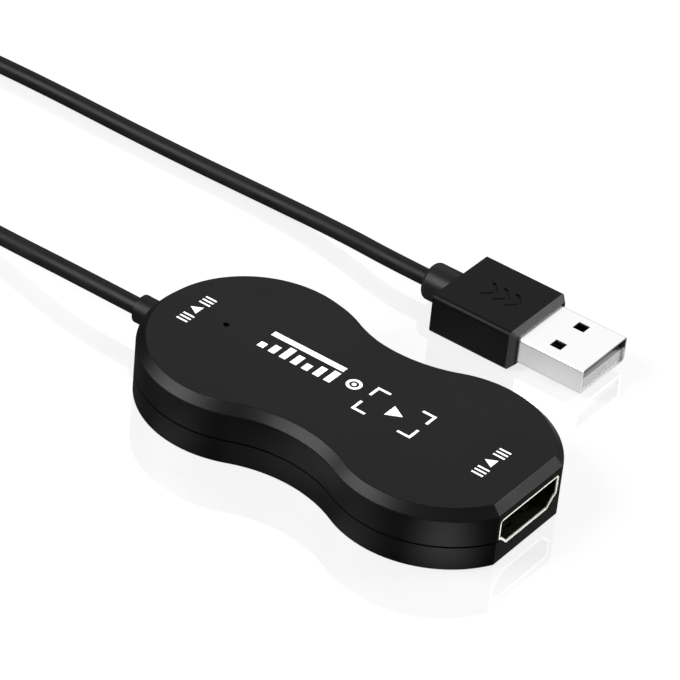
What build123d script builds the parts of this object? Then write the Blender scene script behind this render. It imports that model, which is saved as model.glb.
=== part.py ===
from build123d import *

import math
import os

# A video capture box on a short cord that ends in a flat data plug. Millimetres.
# X runs along the box towards its video socket and Z is up. The origin is under
# the middle of the box, on the surface that the box and its plug lie on.

# Housing: two round lobes joined by hollow flanks, cut square at the socket end
lobe_radius = 17.5
lobe_spacing = 34.6
waist_radius = 21.2
end_face_margin = 0.6
housing_height = 10.15
parting_height = 4.3
top_chamfer = 1.37
roof_edge_radius = 0.3
bottom_edge_radius = 0.25
wall = 1.2
floor_thickness = 0.9
roof_thickness = 1.1

# Parting line, lip and snap beads
reveal_height = 0.3
reveal_depth = 0.3
land_width = 0.35
lip_height = 0.8
lip_clearance = 0.06
lip_end_gap = 3.0
bead_length = 6.0
bead_height = 0.3
bead_depth = 0.15

# Posts that clamp the circuit board, and the hole over the lamp
post_radius = 1.6
post_inset = 5.7
pin_radius = 0.7
pin_length = 2.2
pin_clearance = 0.08
pin_chamfer = 0.2
lamp_hole_radius = 0.5
lamp_gap = 0.74
shroud_radius = 1.5
shroud_bore_radius = 1.0
shroud_gap = 0.4

# Circuit board
board_thickness = 0.8
board_clearance = 0.3
cord_bay_half_width = 4.6

# Video socket: a keyed opening with a contact tongue in the middle
socket_axis_height = 5.1
socket_width = 14.0
socket_height = 4.55
socket_side_height = 2.95
socket_step = 0.7
socket_step_drop = 0.3
socket_lower_width = 10.1
socket_corner_radius = 0.3
socket_clearance = 0.1
mouth_setback = 0.1
shell_sheet = 0.33
shell_length = 11.2
cavity_depth = 9.0
tongue_width = 11.0
tongue_thickness = 1.7
tongue_setback = 2.0
tongue_chamfer = 0.3
contact_pitch = 1.0
contact_width = 0.3
contact_sheet = 0.15
contact_setback = 0.6
contact_tail = 0.8
upper_contact_count = 10
lower_contact_count = 9

# Spring fingers and legs of the socket's shell
finger_width = 1.6
finger_length = 4.6
finger_slit = 0.3
finger_setback = 1.6
finger_dip = 0.5
finger_lift = 0.2
finger_flat_share = 0.15
finger_dip_share = 0.72
upper_finger_spacing = 6.8
lower_finger_spacing = 5.2
leg_width = 1.2
leg_front_setback = 3.0
leg_spacing = 6.0
leg_overhang = 0.4
leg_clearance = 0.15

# Cord, the grommet that holds it in the housing and the ribs that clamp it
cable_radius = 1.4
jacket_thickness = 0.45
wire_radius = 0.36
wire_gap = 0.04
drain_radius = 0.14
moulded_gap = 0.03
cord_axis_height = 5.1
collar_radius = 2.3
collar_length = 3.8
collar_rounding = 0.5
neck_radius = 1.7
flange_radius = 2.5
flange_thickness = 1.2
rib_thickness = 1.0
rib_half_width = 3.2
rib_gap = 0.1
tail_length = 3.0

# Wire ends on the board
wire_straight = 0.5
wire_drop_run = 2.8
wire_landing = 1.2
wire_bend_radius = 0.8
pad_spacing = 1.9
solder_base_radius = 0.75
solder_top_radius = 0.45
solder_height = 0.9
solder_inset = 0.35

# Electronics on the board
part_gap = 0.8
lead_sheet = 0.15
lead_knee_share = 0.3
lead_ankle_share = 0.45
pin_one_radius = 0.4
pin_one_depth = 0.1
chip_width = 7.0
chip_height = 1.4
chip_standoff = 0.1
chip_lead_reach = 1.0
chip_lead_count = 12
chip_lead_pitch = 0.5
chip_lead_width = 0.22
memory_length = 4.9
memory_width = 3.9
memory_height = 1.4
memory_lead_reach = 1.05
memory_lead_count = 4
memory_lead_pitch = 1.2
memory_lead_width = 0.42
regulator_length = 6.5
regulator_width = 3.5
regulator_height = 1.6
regulator_lead_reach = 1.7
regulator_lead_pitch = 2.3
regulator_lead_count = 3
regulator_lead_width = 0.7
regulator_tab_width = 3.0
crystal_length = 3.2
crystal_width = 2.5
crystal_base_height = 0.3
crystal_lid_height = 0.5
crystal_lid_margin = 0.2
inductor_width = 4.0
inductor_height = 2.0
inductor_corner = 0.8
inductor_core_radius = 1.4
inductor_groove_width = 0.2
inductor_groove_depth = 0.3
passive_length = 1.6
passive_width = 0.8
passive_height = 0.8
resistor_height = 0.5
terminal_length = 0.3
capacitor_pitch = 2.4
capacitor_columns = 4
resistor_pitch = 1.5
resistor_count = 8
reservoir_length = 3.5
reservoir_width = 2.8
reservoir_height = 1.9
reservoir_spacing = 7.0
reservoir_band = 0.6
reservoir_chamfer = 0.15
lamp_length = 1.6
lamp_width = 0.8
lamp_base_height = 0.3
lamp_lens_radius = 0.35
lamp_lens_height = 0.35

# Data plug
plug_tip_x = 20.95
plug_axis_y = 38.75
plug_body_length = 15.2
plug_body_width = 14.8
plug_body_height = 7.0
plug_front_chamfer = 0.9
plug_edge_radius = 0.8
plug_collar_radius = 3.1
plug_collar_length = 5.4
plug_collar_rounding = 0.8
plug_shell_exposed = 11.8
plug_shell_buried = 6.0
plug_shell_width = 12.0
plug_shell_height = 4.5
plug_shell_sheet = 0.3
plug_shell_corner = 0.5
plug_seam_width = 0.12
plug_window_length = 2.0
plug_window_width = 1.9
plug_window_spacing = 6.2
plug_window_setback = 6.5
plug_tongue_height = 1.9
plug_tongue_setback = 0.4
plug_cavity_depth = 9.4
plug_contact_width = 1.0
plug_contact_sheet = 0.2
plug_contact_setback = 1.1
plug_contact_stagger = 1.0
plug_contact_tail = 1.3
plug_inner_contact_spacing = 2.0
plug_outer_contact_spacing = 7.0
plug_core_width = 12.8
plug_core_height = 5.3
plug_core_front_wall = 1.6
plug_core_rear_wall = 2.2
plug_cable_entry = 0.8
plug_wire_landing = 1.0
plug_wire_straight = 0.4

# Direction mark sunk into the plug's top: plain chevrons that point to its tip
mark_count = 3
mark_pitch = 2.2
mark_depth = 0.2
mark_half_width = 1.9
mark_reach = 1.7
mark_stroke = 0.8

# How far a cut runs past what it cuts, and how much of a run each arc of the cord takes
overrun = 1.0
arc_share = 0.45

# The flat end face is as wide as the socket needs, and the places along the box follow
end_half_width = socket_width / 2 + shell_sheet + end_face_margin
end_face_offset = math.sqrt(lobe_radius**2 - end_half_width**2)
housing_length = lobe_radius + lobe_spacing + end_face_offset
end_face_x = housing_length / 2
rear_lobe_x = lobe_radius - end_face_x
front_lobe_x = rear_lobe_x + lobe_spacing
waist_x = (rear_lobe_x + front_lobe_x) / 2
waist_centre_y = math.sqrt((lobe_radius + waist_radius) ** 2 - (lobe_spacing / 2) ** 2)
tangent_angle = math.degrees(math.atan2(waist_centre_y, lobe_spacing / 2))
roof_underside = housing_height - roof_thickness
rebate_inset = reveal_depth + land_width
lip_inset = rebate_inset + lip_clearance
bead_base = parting_height - lip_height + bead_height / 2
post_y = lobe_radius - post_inset

# The board carries the socket's shell on its top face
board_top = socket_axis_height - socket_height / 2 - shell_sheet
board_underside = board_top - board_thickness

# The socket runs from its mouth at the end face back to its tails
mouth_x = end_face_x - mouth_setback
socket_rear_x = mouth_x - shell_length
socket_tails_x = socket_rear_x - contact_sheet - contact_tail
finger_front_x = mouth_x - finger_setback
shell_side_y = socket_width / 2 + shell_sheet / 2
legs_x = mouth_x - leg_front_setback - leg_spacing / 2
upper_contact_top = socket_axis_height + tongue_thickness / 2
lower_contact_top = socket_axis_height - tongue_thickness / 2 + contact_sheet

# The cord comes in through the rear wall and stops behind the clamp ribs
cord_exit_x = -end_face_x - collar_length
neck_hole_radius = neck_radius + lip_clearance
inner_lobe_reach = math.sqrt((lobe_radius - wall) ** 2 - flange_radius**2)
flange_rear_x = rear_lobe_x - inner_lobe_reach + lip_clearance
flange_front_x = flange_rear_x + flange_thickness
rib_rear_x = flange_front_x + lip_clearance
rib_front_x = rib_rear_x + rib_thickness
tail_end_x = rib_rear_x + tail_length
wire_end_x = tail_end_x + wire_straight + wire_drop_run + wire_landing
wire_offset = wire_radius + wire_gap
wire_rest_height = board_top + wire_radius + moulded_gap
cord_bay_x = rib_front_x + board_clearance

# Parts on the board, counted back from the socket
lamp_x = wire_end_x - solder_inset + solder_base_radius + lamp_gap + lamp_length / 2
chip_reach = chip_width + 2 * chip_lead_reach
resistor_x = socket_tails_x - part_gap - passive_length / 2
chip_x = resistor_x - passive_length / 2 - part_gap - chip_reach / 2
memory_x = chip_x - chip_reach / 2 - part_gap - memory_length / 2
memory_y = part_gap / 2 + memory_width / 2 + memory_lead_reach
regulator_x = memory_x - memory_length / 2 - part_gap - regulator_length / 2
regulator_y = part_gap / 2 + regulator_width / 2 + regulator_lead_reach
reservoir_x = regulator_x - regulator_length / 2 - part_gap - reservoir_width / 2

# The plug lies on the same surface as the box, beside it
plug_axis_height = plug_body_height / 2
plug_front_x = plug_tip_x - plug_shell_exposed
plug_rear_x = plug_front_x - plug_body_length
plug_cord_x = plug_rear_x - plug_collar_length
plug_middle_x = (plug_front_x + plug_rear_x) / 2
plug_shell_rear_x = plug_front_x - plug_shell_buried
plug_shell_length = plug_shell_exposed + plug_shell_buried
plug_core_rear_x = plug_rear_x + plug_core_rear_wall
plug_core_length = plug_body_length - plug_core_rear_wall - plug_core_front_wall
plug_tail_end_x = plug_core_rear_x + plug_cable_entry
plug_tongue_top = plug_axis_height - plug_shell_height / 2 + plug_shell_sheet + plug_tongue_height
plug_bore_width = plug_shell_width - 2 * plug_shell_sheet
plug_bore_height = plug_shell_height - 2 * plug_shell_sheet

# Planes across the box and the plug, where x is the row's Y and y is its Z
socket_plane = Plane(origin=(mouth_x, 0, socket_axis_height), x_dir=(0, 1, 0), z_dir=(1, 0, 0))
cord_plane = Plane(origin=(0, 0, cord_axis_height), x_dir=(0, 1, 0), z_dir=(1, 0, 0))
plug_plane = Plane(
    origin=(plug_front_x, plug_axis_y, plug_axis_height), x_dir=(0, 1, 0), z_dir=(1, 0, 0)
)

os.makedirs("parts", exist_ok=True)


def draw_housing_outline(inset, mode=Mode.ADD):
    """The plan of the housing, moved inwards by inset."""
    lobe = lobe_radius - inset
    flank = waist_radius + inset
    end_offset = end_face_offset - inset
    half_width = math.sqrt(lobe**2 - end_offset**2)
    end_angle = math.degrees(math.atan2(half_width, end_offset))
    flank_arc = 180 - 2 * tangent_angle
    front_arc = 180 - tangent_angle - end_angle
    end_x = front_lobe_x + end_offset
    with BuildLine() as outline:
        CenterArc((rear_lobe_x, 0), lobe, tangent_angle, 360 - 2 * tangent_angle)
        CenterArc((waist_x, -waist_centre_y), flank, tangent_angle, flank_arc)
        CenterArc((front_lobe_x, 0), lobe, 180 + tangent_angle, front_arc)
        Line((end_x, -half_width), (end_x, half_width))
        CenterArc((front_lobe_x, 0), lobe, end_angle, front_arc)
        CenterArc((waist_x, waist_centre_y), flank, 180 + tangent_angle, flank_arc)
    make_face(outline.edges(), mode=mode)


def draw_lip_band(outer_inset, inner_inset, middle_x, length):
    """A band that follows the housing's outline, kept only along length about middle_x."""
    draw_housing_outline(outer_inset)
    draw_housing_outline(inner_inset, Mode.SUBTRACT)
    with Locations((middle_x, 0)):
        Rectangle(length, 2 * lobe_radius, mode=Mode.INTERSECT)


def draw_board_posts(radius, mode=Mode.ADD):
    """One circle at each of the four posts, level with the middles of the lobes."""
    with Locations((waist_x, 0)):
        with GridLocations(lobe_spacing, 2 * post_y, 2, 2):
            Circle(radius, mode=mode)


def draw_socket_outline(grow=0):
    """The keyed opening of the socket, grown outwards by grow."""
    top = socket_height / 2
    side = socket_width / 2
    shoulder = top - socket_side_height
    right = [
        (side, top),
        (side, shoulder),
        (side - socket_step, shoulder - socket_step_drop),
        (socket_lower_width / 2, -top),
    ]
    left = [(-y, z) for y, z in reversed(right)]
    with BuildLine() as outline:
        Polyline(*right, *left, close=True)
    make_face(outline.edges())
    fillet(vertices(), radius=socket_corner_radius)
    if grow:
        offset(amount=grow)


def draw_finger(outside, inwards):
    """Side view of a spring finger: it leaves the shell's outside face and dips inwards."""
    root = finger_front_x - finger_slit - finger_length
    outer = [
        (root - shell_sheet, outside),
        (root + finger_flat_share * finger_length, outside),
        (root + finger_dip_share * finger_length, outside + inwards * finger_dip),
        (root + finger_length, outside + inwards * (finger_dip - finger_lift)),
    ]
    inner = [(x, z + inwards * shell_sheet) for x, z in reversed(outer)]
    with BuildLine() as outline:
        Polyline(*outer, *inner, close=True)
    make_face(outline.edges())


def draw_contact(top):
    """Side view of a socket contact: along the tongue, down behind it and out on the board."""
    front = mouth_x - tongue_setback - contact_setback
    back = socket_rear_x - contact_sheet
    foot = board_top + contact_sheet
    with BuildLine() as outline:
        Polyline(
            (front, top),
            (back, top),
            (back, foot),
            (socket_tails_x, foot),
            (socket_tails_x, board_top),
            (socket_rear_x, board_top),
            (socket_rear_x, top - contact_sheet),
            (front, top - contact_sheet),
            close=True,
        )
    make_face(outline.edges())


def gull_lead(inner, reach, shoulder, width):
    """A bent lead that leaves a chip's side at inner and ends flat on the board."""
    knee = inner + lead_knee_share * reach
    ankle = inner + lead_ankle_share * reach
    toe = inner + reach
    with BuildPart() as lead:
        with BuildSketch(Plane.XZ):
            with BuildLine() as outline:
                Polyline(
                    (inner, shoulder + lead_sheet),
                    (knee + lead_sheet, shoulder + lead_sheet),
                    (ankle + lead_sheet, lead_sheet),
                    (toe, lead_sheet),
                    (toe, 0),
                    (ankle, 0),
                    (knee, shoulder),
                    (inner, shoulder),
                    close=True,
                )
            make_face(outline.edges())
        extrude(amount=width / 2, both=True)
    return lead.part


def chip_body(length, width, height):
    """A moulded chip that stands just off the board, with a dimple over its first lead."""
    with BuildPart() as body:
        with BuildSketch(Plane.XY.offset(chip_standoff)):
            Rectangle(length, width)
        extrude(amount=height)
        with BuildSketch(Plane.XY.offset(chip_standoff + height)):
            with Locations((-length / 2 + 2 * pin_one_radius, -width / 2 + 2 * pin_one_radius)):
                Circle(pin_one_radius)
        extrude(amount=-pin_one_depth, mode=Mode.SUBTRACT)
    return body.part


def bent_wire(points, radius):
    """A round wire through the points, with one small bend at each inner point."""
    with BuildPart() as wire:
        with BuildLine() as path:
            FilletPolyline(*points, radius=wire_bend_radius)
        with BuildSketch(Plane(origin=path.line @ 0, z_dir=path.line % 0)):
            Circle(radius)
        sweep()
    return wire.part


def route_radii(points):
    """The arc at each inner point of the cord's route, as large as its two runs allow."""
    radii = []
    for before, here, after in zip(points, points[1:], points[2:]):
        first = Vector(*here) - Vector(*before)
        second = Vector(*after) - Vector(*here)
        half_turn = math.radians(first.get_angle(second)) / 2
        radii.append(arc_share * min(first.length, second.length) / math.tan(half_turn))
    return radii


# Lower housing: floor and wall, with a step at the parting line and a rebate for the lip
with BuildPart() as lower_housing:
    with BuildSketch():
        draw_housing_outline(0)
    extrude(amount=parting_height - reveal_height)
    fillet(lower_housing.faces().sort_by(Axis.Z)[0].edges(), radius=bottom_edge_radius)
    with BuildSketch(Plane.XY.offset(parting_height - reveal_height)):
        draw_housing_outline(reveal_depth)
    extrude(amount=reveal_height)
    with BuildSketch(Plane.XY.offset(floor_thickness)):
        draw_housing_outline(wall)
    extrude(amount=parting_height - floor_thickness, mode=Mode.SUBTRACT)
    with BuildSketch(Plane.XY.offset(parting_height - lip_height - lip_clearance)):
        draw_housing_outline(rebate_inset)
    extrude(amount=lip_height + lip_clearance, mode=Mode.SUBTRACT)
    for lobe_x in (rear_lobe_x, front_lobe_x):
        with BuildSketch(Plane.XY.offset(bead_base - lip_clearance)):
            draw_lip_band(
                rebate_inset - bead_depth, wall, lobe_x, bead_length + 2 * lip_clearance
            )
        extrude(amount=bead_height + 2 * lip_clearance, mode=Mode.SUBTRACT)
    with BuildSketch(Plane.XY.offset(floor_thickness)):
        draw_board_posts(post_radius)
    extrude(amount=board_underside - floor_thickness)
    with BuildSketch(Plane.XY.offset(board_underside)):
        draw_board_posts(pin_radius)
    extrude(amount=board_thickness + pin_length)
    chamfer(lower_housing.faces().sort_by(Axis.Z)[-4:].edges(), length=pin_chamfer)
    lower_rib_height = cord_axis_height - rib_gap - floor_thickness
    with BuildSketch(cord_plane.offset(rib_rear_x)):
        with Locations((0, -rib_gap - lower_rib_height / 2)):
            Rectangle(2 * rib_half_width, lower_rib_height)
        Circle(cable_radius + moulded_gap, mode=Mode.SUBTRACT)
    extrude(amount=rib_thickness)
    with BuildSketch(socket_plane.offset(mouth_setback + overrun)):
        draw_socket_outline(shell_sheet + socket_clearance)
    extrude(amount=-wall - 2 * overrun, mode=Mode.SUBTRACT)
    with BuildSketch(cord_plane.offset(-end_face_x - overrun)):
        Circle(neck_hole_radius)
    extrude(amount=wall + 2 * overrun, mode=Mode.SUBTRACT)
lower_housing.part.label = "lower_housing"
export_step(lower_housing.part, "parts/lower_housing.step")

# Upper housing: roof with a soft-edged chamfer, lip with snap beads, posts, lamp shroud and rib
with BuildPart() as upper_housing:
    with BuildSketch(Plane.XY.offset(parting_height)):
        draw_housing_outline(0)
    extrude(amount=housing_height - parting_height)
    chamfer(upper_housing.faces().sort_by(Axis.Z)[-1].edges(), length=top_chamfer)
    shoulder_height = housing_height - top_chamfer
    roof_edges = upper_housing.faces().sort_by(Axis.Z)[-1].edges()
    nearest_edges = upper_housing.edges().sort_by(
        lambda edge: abs(edge.center().Z - shoulder_height)
    )
    shoulder_edges = nearest_edges[: len(roof_edges)]
    fillet(roof_edges + shoulder_edges, radius=roof_edge_radius)
    with BuildSketch(Plane.XY.offset(parting_height)):
        draw_housing_outline(wall)
    extrude(amount=roof_underside - parting_height, mode=Mode.SUBTRACT)
    with BuildSketch(Plane.XY.offset(parting_height)):
        draw_lip_band(lip_inset, wall, 0, housing_length - 2 * lip_end_gap)
    extrude(amount=-lip_height)
    for lobe_x in (rear_lobe_x, front_lobe_x):
        with BuildSketch(Plane.XY.offset(bead_base)):
            draw_lip_band(
                rebate_inset - bead_depth + lip_clearance,
                (lip_inset + wall) / 2,
                lobe_x,
                bead_length,
            )
        extrude(amount=bead_height)
    with BuildSketch(Plane.XY.offset(board_top)):
        draw_board_posts(post_radius)
    extrude(amount=roof_underside - board_top)
    with BuildSketch(Plane.XY.offset(board_top)):
        draw_board_posts(pin_radius + pin_clearance)
    extrude(amount=pin_length + pin_clearance, mode=Mode.SUBTRACT)
    shroud_base = board_top + lamp_base_height + lamp_lens_height + shroud_gap
    with BuildSketch(Plane.XY.offset(shroud_base)):
        with Locations((lamp_x, 0)):
            Circle(shroud_radius)
            Circle(shroud_bore_radius, mode=Mode.SUBTRACT)
    extrude(amount=roof_underside - shroud_base)
    with BuildSketch(Plane.XY.offset(roof_underside)):
        with Locations((lamp_x, 0)):
            Circle(lamp_hole_radius)
    extrude(amount=roof_thickness, mode=Mode.SUBTRACT)
    upper_rib_height = roof_underside - cord_axis_height - rib_gap
    with BuildSketch(cord_plane.offset(rib_rear_x)):
        with Locations((0, rib_gap + upper_rib_height / 2)):
            Rectangle(2 * rib_half_width, upper_rib_height)
        Circle(cable_radius + moulded_gap, mode=Mode.SUBTRACT)
    extrude(amount=rib_thickness)
    with BuildSketch(socket_plane.offset(mouth_setback + overrun)):
        draw_socket_outline(shell_sheet + socket_clearance)
    extrude(amount=-wall - 2 * overrun, mode=Mode.SUBTRACT)
    with BuildSketch(cord_plane.offset(-end_face_x - overrun)):
        Circle(neck_hole_radius)
    extrude(amount=wall + 2 * overrun, mode=Mode.SUBTRACT)
upper_housing.part.label = "upper_housing"
export_step(upper_housing.part, "parts/upper_housing.step")

# Circuit board: follows the housing, with holes for the pins and slots for the shell's legs
with BuildPart() as circuit_board:
    with BuildSketch(Plane.XY.offset(board_underside)):
        draw_housing_outline(wall + board_clearance)
        with Locations(((cord_bay_x - end_face_x) / 2, 0)):
            Rectangle(cord_bay_x + end_face_x, 2 * cord_bay_half_width, mode=Mode.SUBTRACT)
        draw_board_posts(pin_radius + pin_clearance, Mode.SUBTRACT)
        with Locations((legs_x, 0)):
            with GridLocations(leg_spacing, 2 * shell_side_y, 2, 2):
                Rectangle(
                    leg_width + 2 * leg_clearance,
                    shell_sheet + 2 * leg_clearance,
                    mode=Mode.SUBTRACT,
                )
    extrude(amount=board_thickness)
circuit_board.part.label = "circuit_board"
export_step(circuit_board.part, "parts/circuit_board.step")

# Socket shell: one folded sheet with spring fingers above and below and four legs
with BuildPart() as socket_shell:
    with BuildSketch(socket_plane):
        draw_socket_outline(shell_sheet)
    extrude(amount=-shell_length)
    with BuildSketch(socket_plane):
        draw_socket_outline()
    extrude(amount=-shell_length, mode=Mode.SUBTRACT)
    window_x = finger_front_x - (finger_length + finger_slit) / 2
    for inwards, spacing in ((-1, upper_finger_spacing), (1, lower_finger_spacing)):
        with BuildSketch(Plane.XY.offset(socket_axis_height)):
            with Locations((window_x, 0)):
                with GridLocations(0, spacing, 1, 2):
                    Rectangle(finger_length + finger_slit, finger_width + 2 * finger_slit)
        extrude(amount=-inwards * socket_height, mode=Mode.SUBTRACT)
        outside = socket_axis_height - inwards * (socket_height / 2 + shell_sheet)
        for finger_y in (-spacing / 2, spacing / 2):
            with BuildSketch(Plane.XZ.offset(finger_y)):
                draw_finger(outside, inwards)
            extrude(amount=finger_width / 2, both=True)
    leg_foot = board_underside - leg_overhang
    leg_root = socket_axis_height + socket_height / 2 - socket_side_height / 2
    with BuildSketch(Plane.XY.offset(leg_foot)):
        with Locations((legs_x, 0)):
            with GridLocations(leg_spacing, 2 * shell_side_y, 2, 2):
                Rectangle(leg_width, shell_sheet)
    extrude(amount=leg_root - leg_foot)
socket_shell.part.label = "socket_shell"
export_step(socket_shell.part, "parts/socket_shell.step")

# Socket contacts: two rows, half a pitch apart, on the two faces of the tongue
with BuildPart() as socket_contacts:
    rows = ((upper_contact_count, upper_contact_top), (lower_contact_count, lower_contact_top))
    for contact_count, contact_top in rows:
        for contact in range(contact_count):
            contact_y = (contact - (contact_count - 1) / 2) * contact_pitch
            with BuildSketch(Plane.XZ.offset(-contact_y)):
                draw_contact(contact_top)
            extrude(amount=contact_width / 2, both=True)
socket_contacts.part.label = "socket_contacts"
export_step(socket_contacts.part, "parts/socket_contacts.step")

# Socket insulator: a block that closes the shell's rear, with the contact tongue in front
with BuildPart() as socket_insulator:
    with BuildSketch(socket_plane.offset(-shell_length)):
        draw_socket_outline()
    extrude(amount=shell_length - cavity_depth)
    with BuildSketch(socket_plane.offset(-cavity_depth)):
        Rectangle(tongue_width, tongue_thickness)
    extrude(amount=cavity_depth - tongue_setback)
    chamfer(socket_insulator.faces().sort_by(Axis.X)[-1].edges(), length=tongue_chamfer)
    add(socket_contacts.part, mode=Mode.SUBTRACT)
socket_insulator.part.label = "socket_insulator"
export_step(socket_insulator.part, "parts/socket_insulator.step")

# Capture chip with leads on all four sides
capture_body = chip_body(chip_width, chip_width, chip_height)
capture_lead = gull_lead(
    chip_width / 2, chip_lead_reach, chip_standoff + chip_height / 2, chip_lead_width
)
with BuildPart() as capture_chip:
    with Locations((chip_x, 0, board_top)):
        add(capture_body)
capture_chip.part.label = "capture_chip"
export_step(capture_chip.part, "parts/capture_chip.step")

with BuildPart() as capture_chip_leads:
    with Locations((chip_x, 0, board_top)):
        with PolarLocations(0, 4):
            with GridLocations(0, chip_lead_pitch, 1, chip_lead_count):
                add(capture_lead)
capture_chip_leads.part.label = "capture_chip_leads"
export_step(capture_chip_leads.part, "parts/capture_chip_leads.step")

# Firmware memory with leads on its two long sides
memory_body = chip_body(memory_length, memory_width, memory_height)
memory_lead = gull_lead(
    memory_width / 2, memory_lead_reach, chip_standoff + memory_height / 2, memory_lead_width
)
with BuildPart() as firmware_memory:
    with Locations((memory_x, memory_y, board_top)):
        add(memory_body)
firmware_memory.part.label = "firmware_memory"
export_step(firmware_memory.part, "parts/firmware_memory.step")

with BuildPart() as firmware_memory_leads:
    with Locations((memory_x, memory_y, board_top)):
        with PolarLocations(0, 2, start_angle=90):
            with GridLocations(0, memory_lead_pitch, 1, memory_lead_count):
                add(memory_lead)
firmware_memory_leads.part.label = "firmware_memory_leads"
export_step(firmware_memory_leads.part, "parts/firmware_memory_leads.step")

# Voltage regulator: three leads on one side and a wide cooling tab on the other
regulator_body = chip_body(regulator_length, regulator_width, regulator_height)
regulator_shoulder = chip_standoff + regulator_height / 3
regulator_lead = gull_lead(
    regulator_width / 2, regulator_lead_reach, regulator_shoulder, regulator_lead_width
)
regulator_tab = gull_lead(
    regulator_width / 2, regulator_lead_reach, regulator_shoulder, regulator_tab_width
)
with BuildPart() as voltage_regulator:
    with Locations((regulator_x, -regulator_y, board_top)):
        add(regulator_body)
voltage_regulator.part.label = "voltage_regulator"
export_step(voltage_regulator.part, "parts/voltage_regulator.step")

with BuildPart() as voltage_regulator_leads:
    with Locations(Location((regulator_x, -regulator_y, board_top), (0, 0, -90))):
        with GridLocations(0, regulator_lead_pitch, 1, regulator_lead_count):
            add(regulator_lead)
    with Locations(Location((regulator_x, -regulator_y, board_top), (0, 0, 90))):
        add(regulator_tab)
voltage_regulator_leads.part.label = "voltage_regulator_leads"
export_step(voltage_regulator_leads.part, "parts/voltage_regulator_leads.step")

# Crystal: a metal lid on a flat base
with BuildPart() as crystal:
    with BuildSketch(Plane.XY.offset(board_top)):
        with Locations((memory_x, -memory_y)):
            Rectangle(crystal_length, crystal_width)
    extrude(amount=crystal_base_height)
    with BuildSketch(Plane.XY.offset(board_top + crystal_base_height)):
        with Locations((memory_x, -memory_y)):
            RectangleRounded(
                crystal_length - 2 * crystal_lid_margin,
                crystal_width - 2 * crystal_lid_margin,
                crystal_lid_margin,
            )
    extrude(amount=crystal_lid_height)
crystal.part.label = "crystal"
export_step(crystal.part, "parts/crystal.step")

# Power inductor: a shielded block with cut corners and a round groove about its core
with BuildPart() as power_inductor:
    with BuildSketch(Plane.XY.offset(board_top)):
        with Locations((regulator_x, regulator_y)):
            Rectangle(inductor_width, inductor_width)
        chamfer(vertices(), length=inductor_corner)
    extrude(amount=inductor_height)
    with BuildSketch(Plane.XY.offset(board_top + inductor_height)):
        with Locations((regulator_x, regulator_y)):
            Circle(inductor_core_radius)
            Circle(inductor_core_radius - inductor_groove_width, mode=Mode.SUBTRACT)
    extrude(amount=-inductor_groove_depth, mode=Mode.SUBTRACT)
power_inductor.part.label = "power_inductor"
export_step(power_inductor.part, "parts/power_inductor.step")

# Reservoir capacitors: two moulded blocks with a raised band at one end
with BuildPart() as reservoir_capacitors:
    with BuildSketch(Plane.XY.offset(board_top)):
        with Locations((reservoir_x, 0)):
            with GridLocations(0, reservoir_spacing, 1, 2):
                Rectangle(reservoir_width, reservoir_length)
    extrude(amount=reservoir_height)
    chamfer(
        reservoir_capacitors.faces().filter_by(Axis.Z).group_by(Axis.Z)[-1].edges(),
        length=reservoir_chamfer,
    )
    with BuildSketch(Plane.XY.offset(board_top + reservoir_height)):
        with Locations((reservoir_x, reservoir_length / 2 - reservoir_band)):
            with GridLocations(0, reservoir_spacing, 1, 2):
                Rectangle(reservoir_width - 2 * reservoir_band, reservoir_band)
    extrude(amount=-reservoir_chamfer, mode=Mode.SUBTRACT)
reservoir_capacitors.part.label = "reservoir_capacitors"
export_step(reservoir_capacitors.part, "parts/reservoir_capacitors.step")

# Chip capacitors in two rows beside the capture chip, chip resistors behind the socket
capacitor_y = chip_reach / 2 + part_gap + passive_width / 2
with BuildPart() as chip_capacitors:
    with BuildSketch(Plane.XY.offset(board_top)):
        with Locations((chip_x, 0)):
            with GridLocations(capacitor_pitch, 2 * capacitor_y, capacitor_columns, 2):
                Rectangle(passive_length - 2 * terminal_length, passive_width)
    extrude(amount=passive_height)
chip_capacitors.part.label = "chip_capacitors"
export_step(chip_capacitors.part, "parts/chip_capacitors.step")

with BuildPart() as chip_resistors:
    with BuildSketch(Plane.XY.offset(board_top)):
        with Locations((resistor_x, 0)):
            with GridLocations(0, resistor_pitch, 1, resistor_count):
                Rectangle(passive_length - 2 * terminal_length, passive_width)
    extrude(amount=resistor_height)
chip_resistors.part.label = "chip_resistors"
export_step(chip_resistors.part, "parts/chip_resistors.step")

# Soldered end caps of those capacitors and resistors
terminal_spacing = passive_length - terminal_length
with BuildPart() as chip_terminals:
    with BuildSketch(Plane.XY.offset(board_top)):
        with Locations((chip_x, 0)):
            with GridLocations(capacitor_pitch, 2 * capacitor_y, capacitor_columns, 2):
                with GridLocations(terminal_spacing, 0, 2, 1):
                    Rectangle(terminal_length, passive_width)
    extrude(amount=passive_height)
    with BuildSketch(Plane.XY.offset(board_top)):
        with Locations((resistor_x, 0)):
            with GridLocations(0, resistor_pitch, 1, resistor_count):
                with GridLocations(terminal_spacing, 0, 2, 1):
                    Rectangle(terminal_length, passive_width)
    extrude(amount=resistor_height)
chip_terminals.part.label = "chip_terminals"
export_step(chip_terminals.part, "parts/chip_terminals.step")

# Status lamp under the pin hole: a flat base with a round lens
with BuildPart() as status_lamp:
    with BuildSketch(Plane.XY.offset(board_top)):
        with Locations((lamp_x, 0)):
            Rectangle(lamp_length, lamp_width)
    extrude(amount=lamp_base_height)
    with BuildSketch(Plane.XY.offset(board_top + lamp_base_height)):
        with Locations((lamp_x, 0)):
            Circle(lamp_lens_radius)
    extrude(amount=lamp_lens_height)
status_lamp.part.label = "status_lamp"
export_step(status_lamp.part, "parts/status_lamp.step")

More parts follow.
